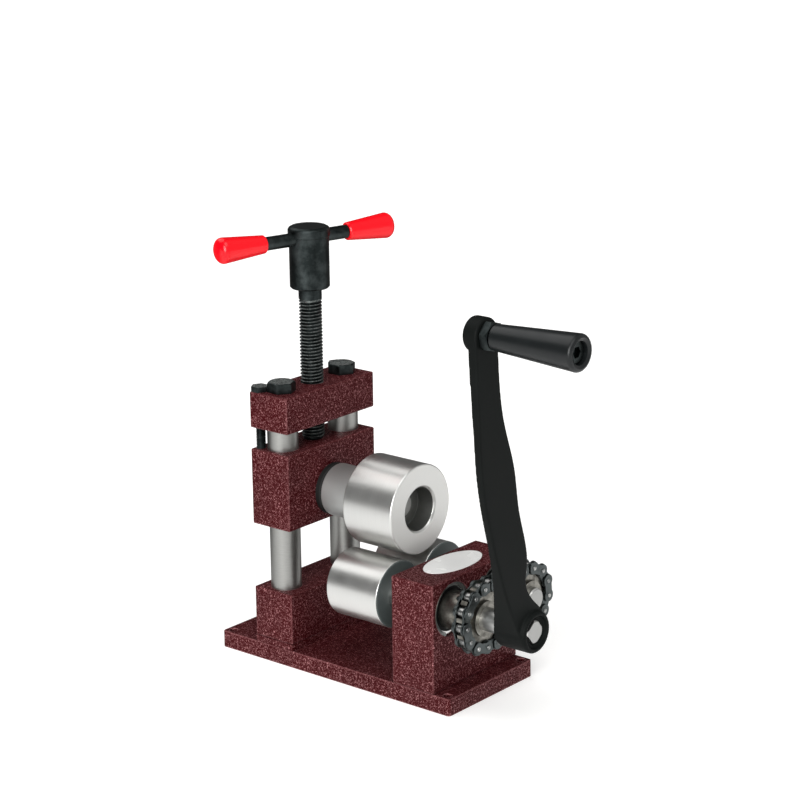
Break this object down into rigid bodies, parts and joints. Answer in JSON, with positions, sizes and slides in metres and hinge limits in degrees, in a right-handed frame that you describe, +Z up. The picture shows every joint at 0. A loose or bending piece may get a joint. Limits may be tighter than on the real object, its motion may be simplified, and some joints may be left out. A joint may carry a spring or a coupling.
{
  "type": "ring roller",
  "caption": "Hand-cranked ring roller: chain-coupled lower rollers, an upper roller on a screw-pressed slide between guide posts, on a flat base.",
  "frame": {"origin": "centre of the base plate's underside, which is also the centre of its four corner holes", "axes": "+Z up; +Y from the crank end to the guide posts; +X to the right as seen from the crank end"},
  "size_m": [0.1119, 0.2461, 0.2277],
  "materials": {
    "hammertone_paint": "dark maroon hammertone paint",
    "ground_steel": "ground",
    "turned_steel": "fine turned",
    "bearing_steel": "polished",
    "seal_rubber": "matt",
    "black_oxide_steel": "blackened",
    "chain_steel": "dark, oiled",
    "black_paint": "satin black",
    "grip_plastic": "satin black",
    "red_plastic": "glossy red",
    "white_enamel": "glossy white, blank",
    "bronze": "turned"
  },
  "bodies": {
    "frame": {"base_plate": "hammertone_paint", "packing_plate": "hammertone_paint", "post_block": "hammertone_paint", "guide_post_left": "ground_steel", "guide_post_right": "ground_steel", "post_foot_screws": "black_oxide_steel", "crossbar": "hammertone_paint", "crossbar_bolts": "black_oxide_steel", "bearing_block": "hammertone_paint", "bearing_block_screws": "black_oxide_steel", "label_plate": "white_enamel", "lower_bearing_outer_rings": "bearing_steel", "lower_bearing_balls": "bearing_steel", "lower_bearing_seals": "seal_rubber", "bearing_circlips": "black_oxide_steel", "chain_rollers": "chain_steel", "chain_bushes": "chain_steel", "chain_inner_plates": "chain_steel", "chain_outer_plates": "chain_steel", "chain_pins": "chain_steel", "chain_cranked_link": "chain_steel"},
    "slide": {"slide_block": "hammertone_paint", "upper_bearing_outer_rings": "bearing_steel", "upper_bearing_balls": "bearing_steel", "upper_bearing_seals": "seal_rubber", "dust_cover": "black_oxide_steel", "stop_bolts": "black_oxide_steel", "thrust_pad": "bronze", "screw_retainer": "black_oxide_steel"},
    "press_screw": {"press_screw": "black_oxide_steel", "tee_hub": "black_oxide_steel", "tee_bar": "black_oxide_steel", "tee_knob_left": "red_plastic", "tee_knob_right": "red_plastic", "tee_hub_pin": "black_oxide_steel"},
    "upper_roller": {"upper_roller": "turned_steel", "upper_shaft": "ground_steel", "upper_bearing_inner_rings": "bearing_steel", "upper_bearing_spacer": "ground_steel", "upper_shaft_circlip": "black_oxide_steel"},
    "drive": {"drive_shaft": "ground_steel", "drive_roller": "turned_steel", "drive_roller_screw": "black_oxide_steel", "drive_spacer": "ground_steel", "drive_sprocket": "black_oxide_steel", "drive_sprocket_grub_screw": "black_oxide_steel", "drive_bearing_inner_rings": "bearing_steel", "crank_arm": "black_paint", "crank_grub_screw": "black_oxide_steel", "grip_spindle": "black_oxide_steel", "grip_nut": "black_oxide_steel"},
    "grip": {"grip": "grip_plastic"},
    "driven": {"driven_shaft": "ground_steel", "driven_roller": "turned_steel", "driven_roller_screw": "black_oxide_steel", "driven_spacer": "ground_steel", "driven_sprocket": "black_oxide_steel", "driven_sprocket_grub_screw": "black_oxide_steel", "driven_bearing_inner_rings": "bearing_steel"}
  },
  "joints": [
    {"name": "slide_lift", "type": "slide", "parent": "frame", "child": "slide", "axis": [0, 0, 1], "range_m": [0, 0.011]},
    {"name": "screw_turn", "type": "hinge", "parent": "slide", "child": "press_screw", "pos_m": [0, 0.03975, 0.11], "axis": [0, 0, 1], "range_deg": [0, 2262.86]},
    {"name": "upper_roller_spin", "type": "hinge", "parent": "slide", "child": "upper_roller", "pos_m": [0, -0.016, 0.08975], "axis": [0, 1, 0], "continuous": true},
    {"name": "crank_turn", "type": "hinge", "parent": "frame", "child": "drive", "pos_m": [-0.018, -0.0155, 0.0496], "axis": [0, 1, 0], "continuous": true, "deforming": ["chain_rollers", "chain_bushes", "chain_pins", "chain_inner_plates", "chain_outer_plates", "chain_cranked_link"]},
    {"name": "driven_spin", "type": "hinge", "parent": "frame", "child": "driven", "pos_m": [0.018, -0.0155, 0.0496], "axis": [0, 1, 0], "continuous": true},
    {"name": "grip_spin", "type": "hinge", "parent": "drive", "child": "grip", "pos_m": [-0.0533, -0.145, 0.2045], "axis": [0, 1, 0], "continuous": true}
  ],
  "couplings": [
    {"joint": "screw_turn", "follows": "slide_lift", "rad_per_m": 3590.4},
    {"joint": "driven_spin", "follows": "crank_turn", "ratio": 1}
  ]
}
